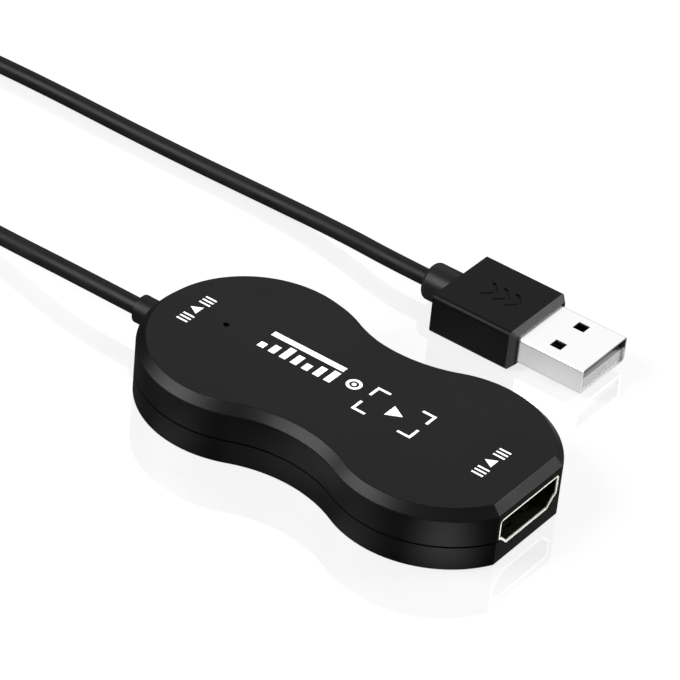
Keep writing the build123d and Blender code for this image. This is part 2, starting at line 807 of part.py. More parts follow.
# Cable grommet: a collar outside the rear wall, a neck through it and a flange inside
with BuildPart() as cable_grommet:
    with BuildSketch(Plane.XZ):
        bore_edge = cord_axis_height + cable_radius + moulded_gap
        with BuildLine():
            Polyline(
                (cord_exit_x, bore_edge),
                (cord_exit_x, cord_axis_height + collar_radius),
                (-end_face_x - moulded_gap, cord_axis_height + collar_radius),
                (-end_face_x - moulded_gap, cord_axis_height + neck_radius),
                (flange_rear_x, cord_axis_height + neck_radius),
                (flange_rear_x, cord_axis_height + flange_radius),
                (flange_front_x, cord_axis_height + flange_radius),
                (flange_front_x, bore_edge),
                close=True,
            )
        make_face()
        outer_corner = vertices().group_by(Axis.X)[0].sort_by(Axis.Z)[-1]
        fillet(outer_corner, radius=collar_rounding)
    revolve(axis=Axis((0, 0, cord_axis_height), (1, 0, 0)))
cable_grommet.part.label = "cable_grommet"
export_step(cable_grommet.part, "parts/cable_grommet.step")

# Cable tail: the cord's jacket inside the grommet and the clamp ribs
with BuildPart() as cable_tail:
    with BuildSketch(cord_plane.offset(cord_exit_x)):
        Circle(cable_radius)
        Circle(cable_radius - jacket_thickness, mode=Mode.SUBTRACT)
    extrude(amount=tail_end_x - cord_exit_x)
cable_tail.part.label = "cable_tail"
export_step(cable_tail.part, "parts/cable_tail.step")

# Conductors: four in a square inside the jacket, which fan out and land on the board
conductor_places = {"red": (1, 1), "white": (1, -1), "green": (-1, -1), "black": (-1, 1)}
board_wires = []
for colour, (side, level) in conductor_places.items():
    start_y = side * wire_offset
    start_z = cord_axis_height + level * wire_offset
    pad_y = side * pad_spacing * (2 if level > 0 else 1)
    bend_x = tail_end_x + wire_straight
    conductor = bent_wire(
        [
            (cord_exit_x, start_y, start_z),
            (bend_x, start_y, start_z),
            (bend_x + wire_drop_run, pad_y, wire_rest_height),
            (wire_end_x, pad_y, wire_rest_height),
        ],
        wire_radius,
    )
    conductor.label = f"conductor_{colour}"
    export_step(conductor, f"parts/conductor_{colour}.step")
    board_wires.append(conductor)

# Shield drain: the bare wire between the conductors, which lands on the middle pad
drain_rest_height = board_top + drain_radius + moulded_gap
shield_drain = bent_wire(
    [
        (cord_exit_x, 0, cord_axis_height),
        (tail_end_x + wire_straight, 0, cord_axis_height),
        (tail_end_x + wire_straight + wire_drop_run, 0, drain_rest_height),
        (wire_end_x, 0, drain_rest_height),
    ],
    drain_radius,
)
shield_drain.label = "shield_drain"
export_step(shield_drain, "parts/shield_drain.step")
board_wires.append(shield_drain)

# Solder joints: one cone over the end of each wire
with BuildPart() as solder_joints:
    with Locations((wire_end_x - solder_inset, 0, board_top)):
        with GridLocations(0, pad_spacing, 1, len(board_wires)):
            Cone(
                solder_base_radius,
                solder_top_radius,
                solder_height,
                align=(Align.CENTER, Align.CENTER, Align.MIN),
            )
    for wire in board_wires:
        add(wire, mode=Mode.SUBTRACT)
solder_joints.part.label = "solder_joints"
export_step(solder_joints.part, "parts/solder_joints.step")

# Plug shell: a flat tube with a seam below and two windows in each wide side
with BuildPart() as plug_shell:
    with BuildSketch(plug_plane.offset(-plug_shell_buried)):
        RectangleRounded(plug_shell_width, plug_shell_height, plug_shell_corner)
        RectangleRounded(
            plug_bore_width,
            plug_bore_height,
            plug_shell_corner - plug_shell_sheet,
            mode=Mode.SUBTRACT,
        )
    extrude(amount=plug_shell_length)
    with BuildSketch(Plane.XY.offset(plug_axis_height)):
        with Locations((plug_tip_x - plug_window_setback, plug_axis_y)):
            with GridLocations(0, plug_window_spacing, 1, 2):
                Rectangle(plug_window_length, plug_window_width)
    extrude(amount=plug_shell_height, both=True, mode=Mode.SUBTRACT)
    with BuildSketch(Plane.XY.offset(plug_axis_height)):
        with Locations(((plug_tip_x + plug_shell_rear_x) / 2, plug_axis_y)):
            Rectangle(plug_shell_length, plug_seam_width)
    extrude(amount=-plug_shell_height, mode=Mode.SUBTRACT)
plug_shell.part.label = "plug_shell"
export_step(plug_shell.part, "parts/plug_shell.step")

# Plug contacts: four flat strips, the outer two for power a little longer
contact_front_x = plug_tip_x - plug_tongue_setback - plug_contact_setback
contact_rear_x = plug_shell_rear_x - plug_contact_tail
with BuildPart() as plug_contacts:
    for spacing, stagger in (
        (plug_outer_contact_spacing, 0),
        (plug_inner_contact_spacing, plug_contact_stagger),
    ):
        front_x = contact_front_x - stagger
        with BuildSketch(Plane.XY.offset(plug_tongue_top - plug_contact_sheet)):
            with Locations(((front_x + contact_rear_x) / 2, plug_axis_y)):
                with GridLocations(0, spacing, 1, 2):
                    Rectangle(front_x - contact_rear_x, plug_contact_width)
        extrude(amount=plug_contact_sheet)
plug_contacts.part.label = "plug_contacts"
export_step(plug_contacts.part, "parts/plug_contacts.step")

# Plug insulator: a tongue in the lower half of the shell, with a block behind it
with BuildPart() as plug_insulator:
    with BuildSketch(plug_plane.offset(-plug_shell_buried)):
        RectangleRounded(
            plug_bore_width, plug_bore_height, plug_shell_corner - plug_shell_sheet
        )
    extrude(amount=plug_shell_length - plug_tongue_setback)
    space_height = plug_axis_height + plug_shell_height / 2 - plug_tongue_top
    with BuildSketch(Plane.XY.offset(plug_tongue_top)):
        with Locations((plug_tip_x - plug_cavity_depth / 2, plug_axis_y)):
            Rectangle(plug_cavity_depth, plug_shell_width)
    extrude(amount=space_height, mode=Mode.SUBTRACT)
    add(plug_contacts.part, mode=Mode.SUBTRACT)
plug_insulator.part.label = "plug_insulator"
export_step(plug_insulator.part, "parts/plug_insulator.step")

# Cable tail in the plug: the cord's jacket through the collar and into the inner mould
with BuildPart() as plug_cable_tail:
    with BuildSketch(plug_plane.offset(plug_cord_x - plug_front_x)):
        Circle(cable_radius)
        Circle(cable_radius - jacket_thickness, mode=Mode.SUBTRACT)
    extrude(amount=plug_tail_end_x - plug_cord_x)
plug_cable_tail.part.label = "plug_cable_tail"
export_step(plug_cable_tail.part, "parts/plug_cable_tail.step")

# Plug conductors: the same four wires, which end on top of the contacts' tails
plug_wire_end_x = plug_shell_rear_x - moulded_gap
plug_wire_height = plug_tongue_top + wire_radius + moulded_gap
plug_wires = []
for colour, (side, level) in conductor_places.items():
    start_y = plug_axis_y + side * wire_offset
    start_z = plug_axis_height - level * wire_offset
    spacing = plug_outer_contact_spacing if level > 0 else plug_inner_contact_spacing
    end_y = plug_axis_y + side * spacing / 2
    conductor = bent_wire(
        [
            (plug_cord_x, start_y, start_z),
            (plug_tail_end_x + plug_wire_straight, start_y, start_z),
            (plug_wire_end_x - plug_wire_landing, end_y, plug_wire_height),
            (plug_wire_end_x, end_y, plug_wire_height),
        ],
        wire_radius,
    )
    conductor.label = f"plug_conductor_{colour}"
    export_step(conductor, f"parts/plug_conductor_{colour}.step")
    plug_wires.append(conductor)

# Plug inner mould: the stiff block that locks shell, wires and cord together
with BuildPart() as plug_inner_mould:
    with BuildSketch(plug_plane.offset(plug_core_rear_x - plug_front_x)):
        Rectangle(plug_core_width, plug_core_height)
    extrude(amount=plug_core_length)
    with BuildSketch(plug_plane.offset(-plug_shell_buried)):
        RectangleRounded(plug_shell_width, plug_shell_height, plug_shell_corner)
    extrude(amount=plug_shell_buried, mode=Mode.SUBTRACT)
    with BuildSketch(plug_plane.offset(plug_core_rear_x - plug_front_x)):
        Circle(cable_radius + moulded_gap)
    extrude(amount=plug_cable_entry, mode=Mode.SUBTRACT)
    add(plug_contacts.part, mode=Mode.SUBTRACT)
    for wire in plug_wires:
        add(wire, mode=Mode.SUBTRACT)
plug_inner_mould.part.label = "plug_inner_mould"
export_step(plug_inner_mould.part, "parts/plug_inner_mould.step")

# Plug overmould: the grip with its collar, chamfered front and sunk direction mark
with BuildPart() as plug_overmould:
    with BuildSketch(plug_plane.offset(-plug_body_length)):
        RectangleRounded(plug_body_width, plug_body_height, plug_edge_radius)
    extrude(amount=plug_body_length - plug_front_chamfer)
    with BuildSketch(plug_plane.offset(-plug_front_chamfer)):
        RectangleRounded(plug_body_width, plug_body_height, plug_edge_radius)
    with BuildSketch(plug_plane):
        RectangleRounded(
            plug_body_width - 2 * plug_front_chamfer,
            plug_body_height - 2 * plug_front_chamfer,
            plug_edge_radius / 2,
        )
    loft(ruled=True)
    with BuildSketch(plug_plane.offset(-plug_body_length)):
        Circle(plug_collar_radius)
    extrude(amount=-plug_collar_length)
    fillet(plug_overmould.faces().sort_by(Axis.X)[0].edges(), radius=plug_collar_rounding)
    with BuildSketch(plug_plane.offset(plug_core_rear_x - plug_front_x)):
        Rectangle(plug_core_width, plug_core_height)
    extrude(amount=plug_core_length, mode=Mode.SUBTRACT)
    with BuildSketch(plug_plane.offset(-plug_shell_buried)):
        RectangleRounded(plug_shell_width, plug_shell_height, plug_shell_corner)
    extrude(amount=plug_shell_length, mode=Mode.SUBTRACT)
    with BuildSketch(plug_plane.offset(plug_cord_x - plug_front_x)):
        Circle(cable_radius + moulded_gap)
    extrude(amount=plug_core_rear_x - plug_cord_x, mode=Mode.SUBTRACT)
    with BuildSketch(Plane.XY.offset(plug_body_height)):
        with Locations((plug_middle_x, plug_axis_y)):
            with GridLocations(mark_pitch, 0, mark_count, 1):
                Polygon(
                    (-mark_reach / 2, mark_half_width),
                    (-mark_reach / 2 + mark_stroke, mark_half_width),
                    (mark_reach / 2 + mark_stroke, 0),
                    (-mark_reach / 2 + mark_stroke, -mark_half_width),
                    (-mark_reach / 2, -mark_half_width),
                    (mark_reach / 2, 0),
                    align=None,
                )
    extrude(amount=-mark_depth, mode=Mode.SUBTRACT)
plug_overmould.part.label = "plug_overmould"
export_step(plug_overmould.part, "parts/plug_overmould.step")

# Cable: the free cord from the grommet's mouth, round in one loose turn to the plug's collar
cable_route = [
    (cord_exit_x, 0, cord_axis_height),
    (-44.0, 0, cord_axis_height),
    (-54.0, 0.5, 4.6),
    (-67.0, 2.3, 2.8),
    (-83.0, 3.9, 1.5),
    (-101.0, 3.5, 1.4),
    (-113.5, 5.2, 1.4),
    (-121.5, 13.0, 1.4),
    (-124.0, 23.6, 1.4),
    (-120.5, 34.6, 1.4),
    (-110.5, 41.0, 1.4),
    (-94.0, 41.6, 1.4),
    (-67.0, 41.1, 1.4),
    (-44.0, 41.5, 1.5),
    (-29.0, 40.6, 2.4),
    (-19.5, plug_axis_y, plug_axis_height),
    (plug_cord_x, plug_axis_y, plug_axis_height),
]
cable_radii = route_radii(cable_route)
with BuildPart() as cable:
    with BuildLine() as cable_path:
        FilletPolyline(*cable_route, radius=cable_radii)
    with BuildSketch(Plane(origin=cable_path.line @ 0, z_dir=cable_path.line % 0)):
        Circle(cable_radius)
    sweep()
cable.part.label = "cable"
export_step(cable.part, "parts/cable.step")

cable_length = sum(edge.length for edge in cable_path.edges())
section_area = math.pi * cable_radius**2
print("cord bend radii", [round(radius, 1) for radius in cable_radii])
print("cord length", round(cable_length, 1))
print("cord volume over section times length", round(cable.part.volume / section_area / cable_length, 4))
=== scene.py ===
import math

import bmesh
import bpy
from mathutils import Matrix, Vector


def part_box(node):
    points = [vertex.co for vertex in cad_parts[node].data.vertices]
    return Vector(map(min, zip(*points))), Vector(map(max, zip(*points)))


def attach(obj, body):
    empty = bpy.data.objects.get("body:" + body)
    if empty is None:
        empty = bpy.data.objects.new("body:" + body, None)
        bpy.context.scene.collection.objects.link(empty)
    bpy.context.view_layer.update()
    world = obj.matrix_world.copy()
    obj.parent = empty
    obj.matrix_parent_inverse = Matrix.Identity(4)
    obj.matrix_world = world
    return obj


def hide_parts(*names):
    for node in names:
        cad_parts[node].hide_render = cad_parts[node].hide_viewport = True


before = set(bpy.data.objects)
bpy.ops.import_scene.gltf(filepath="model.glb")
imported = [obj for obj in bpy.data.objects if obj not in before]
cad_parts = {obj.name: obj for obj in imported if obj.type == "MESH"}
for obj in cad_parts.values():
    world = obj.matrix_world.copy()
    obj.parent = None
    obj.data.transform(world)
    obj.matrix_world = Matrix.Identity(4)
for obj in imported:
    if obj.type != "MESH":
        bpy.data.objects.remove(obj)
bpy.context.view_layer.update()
mm = 0.001
print("frame loaded:", len(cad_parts), "nodes")


def polar(azimuth, elevation):
    # a direction from two angles in degrees: azimuth 0 is -Y and 90 is +X
    turn, tilt = math.radians(azimuth), math.radians(elevation)
    level = math.cos(tilt)
    return Vector((math.sin(turn) * level, -math.cos(turn) * level, math.sin(tilt)))


# Camera, fitted to the outline of the box in the photo: degrees and millimetres, clip in metres
cameraSetup = {
    "azimuth": 33.582,
    "elevation": 35.937,
    "roll": 5.908,
    "place": (247.32, -374.46, 343.47),
    "lens": 203.3,
    "sensor": 36,
    "clip": (0.01, 20),
}


def makeCamera(setup):
    azimuth, roll = math.radians(setup["azimuth"]), math.radians(setup["roll"])
    back = polar(setup["azimuth"], setup["elevation"])
    right = Vector((math.cos(azimuth), math.sin(azimuth), 0))
    up = back.cross(right)
    turnedRight = right * math.cos(roll) + up * math.sin(roll)
    turnedUp = up * math.cos(roll) - right * math.sin(roll)
    data = bpy.data.cameras.new("photoCamera")
    data.lens = setup["lens"]
    data.sensor_width = setup["sensor"]
    data.clip_start, data.clip_end = setup["clip"]
    made = bpy.data.objects.new("photoCamera", data)
    bpy.context.scene.collection.objects.link(made)
    turn = Matrix((turnedRight, turnedUp, back)).transposed().to_4x4()
    made.matrix_world = Matrix.Translation(Vector(setup["place"]) * mm) @ turn
    bpy.context.scene.camera = made


makeCamera(cameraSetup)

# Cord, in millimetres: out of the grommet, round in one loose turn past the picture's edge, and
# back to the plug
cordSetup = {
    "diameter": 2.8,
    "length": 219.3,
    "stepsAlong": 12,
    "stepsAround": 6,
    "route": [
        (-37.65, 0, 5.1), (-44.0, 0, 5.1), (-54.0, 0.5, 4.6), (-67.0, 2.3, 2.8),
        (-83.0, 3.9, 1.5), (-101.0, 3.5, 1.4), (-113.5, 5.2, 1.4), (-121.5, 13.0, 1.4),
        (-124.0, 23.6, 1.4), (-120.5, 34.6, 1.4), (-110.5, 41.0, 1.4), (-94.0, 41.6, 1.4),
        (-67.0, 41.1, 1.4), (-44.0, 41.5, 1.5), (-29.0, 40.6, 2.4), (-19.5, 38.75, 3.5),
        (-11.45, 38.75, 3.5),
    ],
    "pieces": [
        "cable_grommet", "cable_tail", "conductor_red", "conductor_white", "conductor_green",
        "conductor_black", "shield_drain", "plug_overmould", "plug_inner_mould", "plug_shell",
        "plug_contacts", "plug_insulator", "plug_cable_tail", "plug_conductor_red",
        "plug_conductor_white", "plug_conductor_green", "plug_conductor_black",
    ],
}


def makeCord(setup):
    curve = bpy.data.curves.new("cord", "CURVE")
    curve.dimensions = "3D"
    curve.resolution_u = setup["stepsAlong"]
    curve.bevel_depth = 1  # the radius of each point carries the thickness
    curve.bevel_resolution = setup["stepsAround"]
    curve.use_fill_caps = True
    spline = curve.splines.new("NURBS")
    spline.points.add(len(setup["route"]) - 1)
    for point, place in zip(spline.points, setup["route"]):
        point.co = (*(Vector(place) * mm), 1)
        point.radius = setup["diameter"] / 2 * mm
    spline.order_u = 3
    spline.use_endpoint_u = True
    made = bpy.data.objects.new("cord", curve)
    bpy.context.scene.collection.objects.link(made)
    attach(made, "root")
    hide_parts("cable")
    return made


cord = makeCord(cordSetup)
print("cord laid")

# Printed marks on the roof, in millimetres: generic arrows, bars and a picture frame
markSetup = {
    "thickness": 0.012,
    "roundSides": 48,
    "cordEnd": (-27.3, 0),
    "socketEnd": (26.6, 0),
    "endArrow": 1.15,
    "endArrowTurn": 90,
    "endBars": (1.9, 2.7, 3.5),
    "endBarSize": (2.0, 0.34),
    "levels": (1.3, 2.0, 3.0, 2.4, 1.6, 2.5, 3.0),
    "levelStart": (-14.7, -0.9),
    "levelPitch": 2.05,
    "levelWidth": 1.15,
    "band": (-8.6, 3.15),
    "bandSize": (13.4, 1.1),
    "ringPlace": (1.1, 1.3),
    "ringOuter": 1.25,
    "ringInner": 0.75,
    "ringDot": 0.375,
    "frameCentre": (9.4, -0.15),
    "frameSize": (10.6, 6.8),
    "cornerLength": 2.4,
    "cornerWidth": 0.45,
    "frameArrow": 1.6,
    "frameArrowTurn": -90,
}


class Print:
    # a bmesh of thin flat shapes that lie on the roof
    def __init__(self, setup):
        self.work = bmesh.new()
        self.thickness = setup["thickness"]
        self.roundSides = setup["roundSides"]
        self.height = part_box("upper_housing")[1].z / mm + self.thickness / 2

    def place(self, centre, turn=0.0, size=(1, 1)):
        spot = Matrix.Translation((*centre, self.height))
        return spot @ Matrix.Rotation(math.radians(turn), 4, "Z") @ Matrix.Diagonal((*size, 1, 1))

    def bar(self, centre, size):
        flat = Matrix.Diagonal((1, 1, self.thickness, 1))
        bmesh.ops.create_cube(self.work, size=1, matrix=self.place(centre, 0, size) @ flat)

    def plate(self, centre, radius, sides, turn=0.0):
        bmesh.ops.create_cone(
            self.work, cap_ends=True, segments=sides, radius1=radius, radius2=radius,
            depth=self.thickness, matrix=self.place(centre, turn),
        )

    def disc(self, centre, radius):
        self.plate(centre, radius, self.roundSides)

    def arrow(self, centre, radius, turn):
        self.plate(centre, radius, 3, turn)  # a solid triangle

    def ring(self, centre, outer, inner):
        low = self.place(centre) @ Matrix.Translation((0, 0, -self.thickness / 2))
        rims = []
        for radius in (outer, inner):
            made = bmesh.ops.create_circle(
                self.work, segments=self.roundSides, radius=radius, matrix=low
            )
            rims += list({edge for vert in made["verts"] for edge in vert.link_edges})
        flat = bmesh.ops.bridge_loops(self.work, edges=rims)["faces"]
        raised = bmesh.ops.extrude_face_region(self.work, geom=flat)["geom"]
        tops = [item for item in raised if isinstance(item, bmesh.types.BMVert)]
        bmesh.ops.translate(self.work, verts=tops, vec=(0, 0, self.thickness))

    def finish(self, name):
        bmesh.ops.scale(self.work, vec=(mm, mm, mm), verts=self.work.verts[:])
        bmesh.ops.recalc_face_normals(self.work, faces=self.work.faces[:])
        mesh = bpy.data.meshes.new(name)
        self.work.to_mesh(mesh)
        self.work.free()
        made = bpy.data.objects.new(name, mesh)
        bpy.context.scene.collection.objects.link(made)
        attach(made, "root")
        return made


def printEnd(setup, name, centre):
    # a solid arrow that points to the cord, with bars on both sides
    marks = Print(setup)
    marks.arrow(centre, setup["endArrow"], setup["endArrowTurn"])
    x, y = centre
    for step in setup["endBars"]:
        for side in (-1, 1):
            marks.bar((x, y + side * step), setup["endBarSize"])
    return marks.finish(name)


def printCorner(marks, corner, inward, length, width):
    # one corner of the picture frame: a bar along X, and a shorter one along Y that meets it
    (x, y), (inX, inY) = corner, inward
    rest = length - width
    marks.bar((x + inX * length / 2, y + inY * width / 2), (length, width))
    marks.bar((x + inX * width / 2, y + inY * (width + rest / 2)), (width, rest))


def printMiddle(setup):
    # level bars under a long band, a ring with a dot, and four corners round an arrow
    marks = Print(setup)
    startX, baseY = setup["levelStart"]
    for step, height in enumerate(setup["levels"]):
        x = startX + step * setup["levelPitch"]
        marks.bar((x, baseY + height / 2), (setup["levelWidth"], height))
    marks.bar(setup["band"], setup["bandSize"])
    marks.ring(setup["ringPlace"], setup["ringOuter"], setup["ringInner"])
    marks.disc(setup["ringPlace"], setup["ringDot"])
    x, y = setup["frameCentre"]
    halfX, halfY = (side / 2 for side in setup["frameSize"])
    for sideX in (-1, 1):
        for sideY in (-1, 1):
            corner = (x + sideX * halfX, y + sideY * halfY)
            inward = (-sideX, -sideY)
            printCorner(marks, corner, inward, setup["cornerLength"], setup["cornerWidth"])
    marks.arrow(setup["frameCentre"], setup["frameArrow"], setup["frameArrowTurn"])
    return marks.finish("roof_mark_middle")


roofMarks = [
    printEnd(markSetup, "roof_mark_cord_end", markSetup["cordEnd"]),
    printEnd(markSetup, "roof_mark_socket_end", markSetup["socketEnd"]),
    printMiddle(markSetup),
]
print("marks printed:", len(roofMarks))

# Noise of the finishes: scale, detail and roughness, with a stretch where it runs in lines along X
noises = {
    "mouldCloud": (70, 4, 0.5),
    "mouldGrain": (3200, 2, 0.6),
    "gripGrain": (2600, 2, 0.6),
    "sheetLines": (1, 4, 0.7, (60, 3000, 3000)),
    "sheetStains": (260, 3, 0.5),
    "solderRipple": (900, 4, 0.5),
    "solderFlux": (2400, 2, 0.5),
    "jacketBloom": (120, 5, 0.5),
    "jacketDrag": (1, 3, 0.5, (80, 2600, 2600)),
    "epoxySpecks": (9000, 2, 0.7),
    "powderTone": (800, 4, 0.5),
    "tongueTone": (900, 3, 0.5),
    "inkPatches": (2600, 4, 0.7),
    "resinHaze": (3000, 2, 0.5),
}


class Wire:
    # one output of a node tree, so that shader maths reads as plain sums
    def __init__(self, tree, socket):
        self.tree = tree
        self.socket = socket

    def other(self, output):
        return Wire(self.tree, self.socket.node.outputs[output])

    def maths(self, operation, first, second):
        return self.tree.add("Math", {"operation": operation}, {0: first, 1: second})

    def absolute(self):
        return self.tree.add("Math", {"operation": "ABSOLUTE"}, {0: self})

    def lesser(self, other):
        return self.maths("MINIMUM", self, other)

    def greater(self, other):
        return self.maths("MAXIMUM", self, other)

    def __add__(self, other):
        return self.maths("ADD", self, other)

    def __radd__(self, other):
        return self.maths("ADD", other, self)

    def __sub__(self, other):
        return self.maths("SUBTRACT", self, other)

    def __rsub__(self, other):
        return self.maths("SUBTRACT", other, self)

    def __mul__(self, other):
        return self.maths("MULTIPLY", self, other)

    def __rmul__(self, other):
        return self.maths("MULTIPLY", other, self)


class Tree:
    # the node tree of a material or of the world
    def __init__(self, owner):
        owner.use_nodes = True
        self.owner = owner
        self.nodes = owner.node_tree.nodes
        self.links = owner.node_tree.links
        self.nodes.clear()

    def add(self, kind, settings=None, inputs=None, output=0):
        made = self.nodes.new("ShaderNode" + kind)
        for name, value in (settings or {}).items():
            setattr(made, name, value)
        for name, value in (inputs or {}).items():
            if isinstance(value, Wire):
                self.links.new(value.socket, made.inputs[name])
            else:
                made.inputs[name].default_value = value
        return Wire(self, made.outputs[output] if made.outputs else None)

    def blend(self, factor, first, second):
        # the colour sockets of a Mix node are inputs 6 and 7 and output 2
        ends = {6: first, 7: second}
        colours = {key: end if isinstance(end, Wire) else (*end, 1) for key, end in ends.items()}
        return self.add("Mix", {"data_type": "RGBA"}, {0: factor, **colours}, 2)

    def place(self, stretch=(1, 1, 1)):
        spot = self.add("TexCoord", {}, {}, "Object")
        return self.add("Mapping", {}, {"Vector": spot, "Scale": stretch})

    def metres(self):
        # X from the frame's origin, with Y and Z as its other outputs
        return self.add("SeparateXYZ", {}, {0: self.add("TexCoord", {}, {}, "Object")})

    def facing(self):
        # how far the surface faces along X, with Y and Z as its other outputs
        return self.add("SeparateXYZ", {}, {0: self.add("TexCoord", {}, {}, "Normal")})

    def noise(self, name):
        scale, detail, roughness, *stretch = noises[name]
        inputs = {"Scale": scale, "Detail": detail, "Roughness": roughness}
        return self.add("TexNoise", {}, {"Vector": self.place(*stretch), **inputs})

    def ramp(self, value, low, high, start=0.0, end=1.0):
        inputs = {"Value": value, "From Min": low, "From Max": high, "To Min": start, "To Max": end}
        return self.add("MapRange", {"interpolation_type": "SMOOTHSTEP"}, inputs)

    def bump(self, height, depth):
        return self.add("Bump", {}, {"Height": height, "Distance": depth * mm})

    def surface(self, inputs):
        shader = self.add("BsdfPrincipled", {}, inputs)
        self.add("OutputMaterial", {}, {"Surface": shader})
        return self.owner


def newTree(name):
    return Tree(bpy.data.materials.new(name))


# In the finishes below, a ramp runs between the two values of a range, a share is how far one
# colour goes into another, and a spread is how much the roughness changes over the surface.
# Lengths, depths and the distances behind a mouth or a tip are in millimetres.

mouldedSetup = {
    "grainShare": 0.3,
    "toneRange": (0.35, 0.65),
    "cloudRange": (0.3, 0.7),
    "spread": 0.1,
    "depth": 0.006,
}


def mouldedPlastic(name, dark, light, roughness, specular=0.5):
    # a fine spark-eroded grain and slow changes of gloss from the mould
    setup = mouldedSetup
    tree = newTree(name)
    cloud = tree.noise("mouldCloud")
    grain = tree.noise("mouldGrain")
    tone = cloud * (1 - setup["grainShare"]) + grain * setup["grainShare"]
    gloss = tree.ramp(cloud, *setup["cloudRange"]) * setup["spread"]
    return tree.surface({
        "Base Color": tree.blend(tree.ramp(tone, *setup["toneRange"]), dark, light),
        "Roughness": roughness - setup["spread"] / 2 + gloss,
        "Specular IOR Level": specular,
        "Normal": tree.bump(grain, setup["depth"]),
    })


gripSetup = {
    "collarLength": 5.4,
    "collarFade": 0.4,
    "collarShare": 0.1,
    "noseRises": (0.4, 0.6),
    "noseFalls": (0.8, 0.95),
    "noseGrain": 0.1,
    "cloudRange": (0.3, 0.7),
    "cloudShare": 0.03,
    "roughness": 0.38,
    "spread": 0.1,
    "specular": 0.08,
    "coatRoughness": 0.3,
    "depth": 0.006,
}


def mouldedGrip(name, dark, paleAndNoseLight):
    # satin black, a little paler and with a sheen on the collar, and made paler as painted light
    # where the nose's chamfer faces forward
    setup = gripSetup
    tree = newTree(name)
    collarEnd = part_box("plug_overmould")[0].x + setup["collarLength"] * mm
    collarStart = collarEnd - setup["collarFade"] * mm
    collar = tree.ramp(tree.metres(), collarStart, collarEnd, setup["collarShare"], 0.0)
    cloud = tree.ramp(tree.noise("mouldCloud"), *setup["cloudRange"])
    grain = tree.noise("gripGrain")
    # painted light on the nose: faces that look forward along X are made paler
    forward = tree.facing()
    nose = tree.ramp(forward, *setup["noseRises"]) * tree.ramp(forward, *setup["noseFalls"], 1.0, 0.0)
    paintedNoseLight = nose * (1 - setup["noseGrain"] + grain * setup["noseGrain"])
    return tree.surface({
        "Base Color": tree.blend(paintedNoseLight + collar + cloud * setup["cloudShare"], dark, paleAndNoseLight),
        "Roughness": setup["roughness"] + cloud * setup["spread"],
        "Specular IOR Level": setup["specular"],
        "Coat Weight": collar,
        "Coat Roughness": setup["coatRoughness"],
        "Normal": tree.bump(grain, setup["depth"]),
    })


sheetSetup = {
    "stainRange": (0.4, 0.7),
    "spread": 0.08,
    "depth": 0.0008,
}


def brushedMetal(name, dark, light, roughness):
    # rolled or plated sheet: fine lines along the sheet and a few soft stains
    setup = sheetSetup
    tree = newTree(name)
    lines = tree.noise("sheetLines")
    stains = tree.ramp(tree.noise("sheetStains"), *setup["stainRange"])
    return tree.surface({
        "Base Color": tree.blend(stains, light, dark),
        "Metallic": 1.0,
        "Roughness": roughness - setup["spread"] / 2 + lines * setup["spread"],
        "Normal": tree.bump(lines, setup["depth"]),
    })


rimSetup = {
    "behindMouth": (0.3, 0.08),
    "lineShare": 0.06,
    "deepRoughness": 0.5,
    "rimRoughness": 0.3,
    "spread": 0.06,
    "depth": 0.0008,
}


def socketPlatingPaintedLight(name, deepShade, rim):
    # pale plating on the rim of the mouth, unmetallic there so that it shows as a painted highlight;
    # within the box it turns rougher and is darkened by painted shade
    setup = rimSetup
    tree = newTree(name)
    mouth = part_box("socket_shell")[1].x
    front = tree.ramp(tree.metres(), *(mouth - step * mm for step in setup["behindMouth"]))
    lines = tree.noise("sheetLines")
    pale = front * (1 - setup["lineShare"] + lines * setup["lineShare"])
    smoother = front * (setup["deepRoughness"] - setup["rimRoughness"])
    return tree.surface({
        # the rim's pale colour is a painted highlight, and the dark colour within the box is painted
        # shade
        "Base Color": tree.blend(pale, deepShade, rim),
        "Metallic": 1 - front,
        "Roughness": setup["deepRoughness"] - smoother + lines * setup["spread"],
        "Normal": tree.bump(lines, setup["depth"]),
    })


plugContactSetup = {
    "behindTip": (2.2, 1.0),
    "lineShare": 0.1,
    "deepRoughness": 0.45,
    "tipRoughness": 0.25,
    "spread": 0.08,
    "depth": 0.0008,
}


def plugContactAndShade(name, deepShade, gold):
    # gold at the open front; where only the windows show it, rougher and darkened by painted shade
    setup = plugContactSetup
    tree = newTree(name)
    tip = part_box("plug_contacts")[1].x
    front = tree.ramp(tree.metres(), *(tip - step * mm for step in setup["behindTip"]))
    lines = tree.noise("sheetLines")
    bright = front * (1 - setup["lineShare"] + lines * setup["lineShare"])
    smoother = front * (setup["deepRoughness"] - setup["tipRoughness"])
    return tree.surface({
        # the dark colour is painted shade on the contacts behind the windows
        "Base Color": tree.blend(bright, deepShade, gold),
        "Metallic": front,
        "Roughness": setup["deepRoughness"] - smoother + lines * setup["spread"],
        "Normal": tree.bump(lines, setup["depth"]),
    })


shellSetup = {
    "bendRange": (0.01, 0.12),
    "bendShare": 0.85,
    "behindMouth": (0.6, 0.45),
    "overMiddle": 0.5,
    "underSkin": (0.2, 0.28),
    "roughness": 0.26,
    "spread": 0.08,
    "bendRoughness": 0.35,
    "tubeRoughness": 0.2,
    "depth": 0.0006,
}


